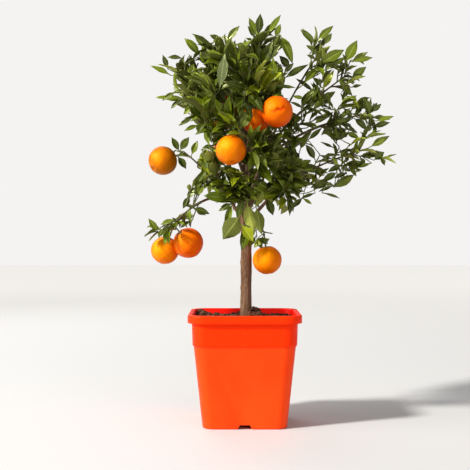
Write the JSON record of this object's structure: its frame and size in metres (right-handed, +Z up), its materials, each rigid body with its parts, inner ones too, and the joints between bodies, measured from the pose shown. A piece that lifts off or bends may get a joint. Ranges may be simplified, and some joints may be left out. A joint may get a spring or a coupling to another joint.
{
  "type": "potted chinotto orange tree",
  "caption": "Small evergreen citrus tree in fruit, grown as a round head on a clear stem, standing in the square plastic nursery pot of soil it was raised in.",
  "frame": {"origin": "centre of the flat pad under the pot's floor, on the surface that the pot stands on", "axes": "+Z up along the trunk, -Y out of the pot's front side, +X to the right seen from the front"},
  "size_m": [0.4003, 0.3334, 0.6761],
  "materials": {
    "pot": "smooth orange-red moulded plastic with a soft sheen",
    "soil": "dark brown potting mix with bark chips",
    "bark": "grey-brown bark, finely ridged lengthwise",
    "foliage": "glossy dark green leaves on green twigs, with glossy orange fruit"
  },
  "bodies": {
    "root": {"pot": "pot", "soil": "soil", "trunk": "bark", "bough_leader": "bark", "bough_left": "bark", "bough_right": "bark", "bough_front": "bark", "bough_back": "bark", "bough_low_right": "bark", "bough_low_left": "bark", "bough_low_front": "bark", "bough_low_back": "bark", "bough_low_fruit": "bark", "bough_trunk_front": "bark", "bough_top_left": "bark", "bough_mid_left": "bark", "bough_hanging": "bark", "bough_inner_left": "bark", "bough_front_left": "bark", "bough_front_right": "bark", "bough_front_middle": "bark", "bough_inner_right": "bark", "bough_far_right": "bark", "bough_upper_right": "bark", "bough_bottom_right": "bark", "bough_under_right": "bark", "bough_back_left": "bark", "bough_back_right": "bark", "bough_back_middle": "bark", "bough_back_low_left": "bark", "bough_back_low_right": "bark", "foliage_leader": "foliage", "foliage_left": "foliage", "foliage_right": "foliage", "foliage_front": "foliage", "foliage_back": "foliage", "foliage_low_right": "foliage", "foliage_low_left": "foliage", "foliage_low_front": "foliage", "foliage_low_back": "foliage", "foliage_low_fruit": "foliage", "foliage_trunk_front": "foliage", "foliage_top_left": "foliage", "foliage_mid_left": "foliage", "foliage_hanging": "foliage", "foliage_inner_left": "foliage", "foliage_front_left": "foliage", "foliage_front_right": "foliage", "foliage_front_middle": "foliage", "foliage_inner_right": "foliage", "foliage_far_right": "foliage", "foliage_upper_right": "foliage", "foliage_bottom_right": "foliage", "foliage_under_right": "foliage", "foliage_back_left": "foliage", "foliage_back_right": "foliage", "foliage_back_middle": "foliage", "foliage_back_low_left": "foliage", "foliage_back_low_right": "foliage"}
  },
  "joints": []
}
